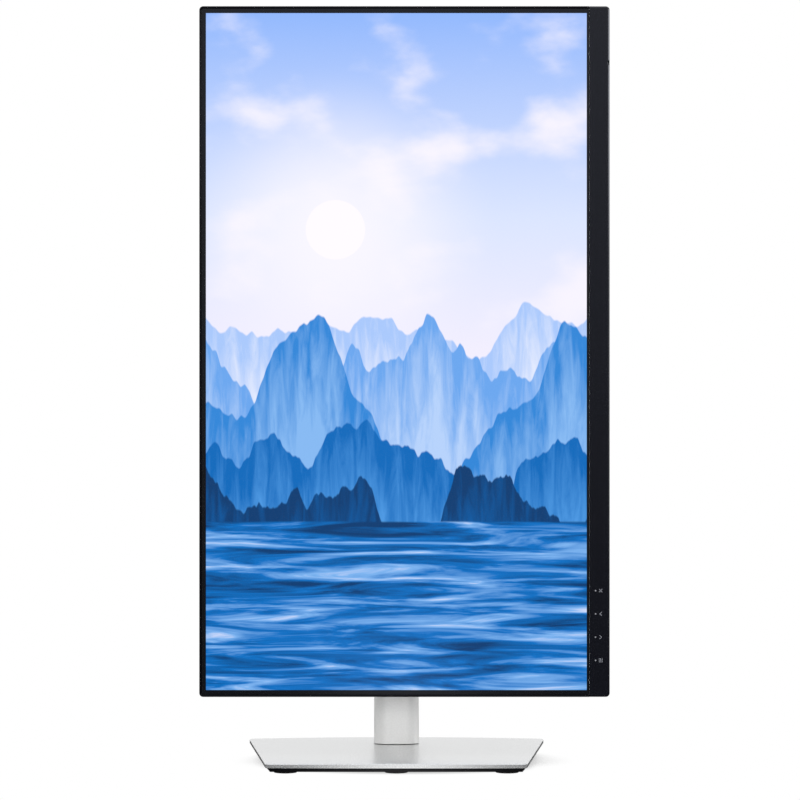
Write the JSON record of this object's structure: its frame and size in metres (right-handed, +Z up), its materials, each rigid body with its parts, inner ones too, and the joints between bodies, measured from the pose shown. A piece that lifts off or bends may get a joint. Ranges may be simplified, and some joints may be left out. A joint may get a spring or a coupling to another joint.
{
  "type": "computer monitor",
  "caption": "Slim desk monitor in portrait on a stand that swivels, lifts, tilts and pivots, with a flat flared base plate.",
  "frame": {"origin": "on the desk plane, under the middle of the display's outline and of the base's depth, display in portrait", "axes": "+Z up, +X to the viewer's right, +Y from the screen towards the back"},
  "size_m": [0.3196, 0.185, 0.5926],
  "materials": {
    "silver_metal": "satin silver paint on steel",
    "silver_plastic": "satin silver ABS",
    "charcoal_plastic": "fine-grained charcoal ABS",
    "black_plastic": "black moulded plastic",
    "foot_rubber": "matt",
    "ballast_steel": "raw",
    "zinc_steel": "zinc plated",
    "bright_steel": "polished",
    "cast_alloy": "as cast",
    "brass_inserts": "turned",
    "nylon": "natural acetal",
    "screen_surface": "anti-glare film, lit",
    "panel_glass": "clear",
    "light_sheets": "translucent white",
    "light_guide": "clear acrylic",
    "circuit_board": "green solder mask"
  },
  "bodies": {
    "base": {"base_top_plate": "silver_metal", "base_undertray": "black_plastic", "base_ballast": "ballast_steel", "rubber_feet": "foot_rubber"},
    "column": {"swivel_hub": "zinc_steel", "swivel_washer": "nylon", "swivel_retainer": "zinc_steel", "retainer_screws": "bright_steel", "neck_foot_collar": "silver_plastic", "neck_front_cover": "silver_plastic", "neck_rear_cover": "silver_plastic", "neck_top_cap": "silver_plastic", "slot_guide": "black_plastic", "cable_slot_liner": "black_plastic", "column_core": "zinc_steel", "slide_rail_outer": "zinc_steel", "spring_axle": "zinc_steel"},
    "thumbscrew": {"thumbscrew": "bright_steel"},
    "thumbscrew_bail": {"thumbscrew_bail": "black_plastic"},
    "cage": {"ball_cage": "zinc_steel", "rail_balls": "bright_steel"},
    "spool": {"lift_spring_spool": "nylon", "lift_spring_coil": "bright_steel"},
    "carriage": {"slide_rail_inner": "zinc_steel", "carriage_arm": "cast_alloy", "tilt_axle": "bright_steel", "tilt_springs": "bright_steel", "lift_spring_strip": "bright_steel"},
    "tilt_head": {"tilt_yoke": "zinc_steel", "hinge_cover": "charcoal_plastic", "hinge_washers": "nylon"},
    "display": {"pivot_flange": "zinc_steel", "pivot_nut": "zinc_steel", "stand_plate": "zinc_steel", "rear_cover": "charcoal_plastic", "front_frame": "charcoal_plastic", "chin_bezel": "charcoal_plastic", "front_polariser": "screen_surface", "lcd_glass": "panel_glass", "diffuser_sheets": "light_sheets", "light_guide_plate": "light_guide", "reflector_sheet": "light_sheets", "led_strip": "circuit_board", "panel_chassis": "zinc_steel", "vesa_bracket": "zinc_steel", "vesa_inserts": "brass_inserts", "main_board": "circuit_board", "power_board": "circuit_board", "video_ports": "zinc_steel", "usb_ports": "zinc_steel", "ac_inlet": "black_plastic", "key_boards": "circuit_board", "key_light_pipes": "light_guide", "display_screws": "bright_steel", "joystick_switch": "black_plastic"},
    "release_catch": {"release_catch": "charcoal_plastic"},
    "power_button": {"power_button": "black_plastic"},
    "joystick_plunger": {"joystick_plunger": "black_plastic"},
    "joystick_gimbal": {"joystick_gimbal": "zinc_steel"},
    "joystick_cap": {"joystick_cap": "black_plastic"}
  },
  "joints": [
    {"name": "swivel", "type": "hinge", "parent": "base", "child": "column", "pos_m": [-0.00635, 0.0585, 0.0081], "axis": [0, 0, 1], "range_deg": [-45, 45]},
    {"name": "thumbscrew_turn", "type": "hinge", "parent": "column", "child": "thumbscrew", "pos_m": [-0.00635, 0.0585, 0.003], "axis": [0, 0, 1], "continuous": true},
    {"name": "bail_fold", "type": "hinge", "parent": "thumbscrew", "child": "thumbscrew_bail", "pos_m": [-0.00635, 0.0585, 0.0031], "axis": [-1, 0, 0], "range_deg": [0, 90]},
    {"name": "height_adjust", "type": "slide", "parent": "column", "child": "carriage", "axis": [0, 0, 1], "range_m": [-0.04, 0.022], "deforming": ["lift_spring_strip"]},
    {"name": "cage_travel", "type": "slide", "parent": "column", "child": "cage", "axis": [0, 0, 1], "range_m": [-0.0201, 0.0111]},
    {"name": "spool_turn", "type": "hinge", "parent": "column", "child": "spool", "pos_m": [-0.00635, 0.0631, 0.3475], "axis": [1, 0, 0], "range_deg": [-138, 250]},
    {"name": "tilt", "type": "hinge", "parent": "carriage", "child": "tilt_head", "pos_m": [-0.00635, 0.0175, 0.3237], "axis": [-1, 0, 0], "range_deg": [-5, 21]},
    {"name": "pivot", "type": "hinge", "parent": "tilt_head", "child": "display", "pos_m": [-0.00635, 0, 0.3237], "axis": [0, 1, 0], "range_deg": [0, 180]},
    {"name": "catch_slide", "type": "slide", "parent": "display", "child": "release_catch", "axis": [1, 0, 0], "range_m": [0, 0.004], "stiffness_N_per_m": 400, "springref_m": -0.002},
    {"name": "power_press", "type": "slide", "parent": "display", "child": "power_button", "axis": [-1, 0, 0], "range_m": [0, 0.0006], "stiffness_N_per_m": 2000, "springref_m": -0.0003},
    {"name": "joystick_press", "type": "slide", "parent": "display", "child": "joystick_plunger", "axis": [0, -1, 0], "range_m": [0, 0.0005], "stiffness_N_per_m": 3000, "springref_m": -0.0003},
    {"name": "joystick_rock_side", "type": "hinge", "parent": "joystick_plunger", "child": "joystick_gimbal", "pos_m": [0.05965, -0.0105, 0.4637], "axis": [0, 0, 1], "range_deg": [-6, 6], "stiffness_Nm_per_rad": 0.06},
    {"name": "joystick_rock_up", "type": "hinge", "parent": "joystick_gimbal", "child": "joystick_cap", "pos_m": [0.05965, -0.0105, 0.4637], "axis": [1, 0, 0], "range_deg": [-6, 6], "stiffness_Nm_per_rad": 0.06}
  ],
  "couplings": [
    {"joint": "cage_travel", "follows": "height_adjust", "ratio": 0.5},
    {"joint": "spool_turn", "follows": "height_adjust", "rad_per_m": -108.7}
  ]
}
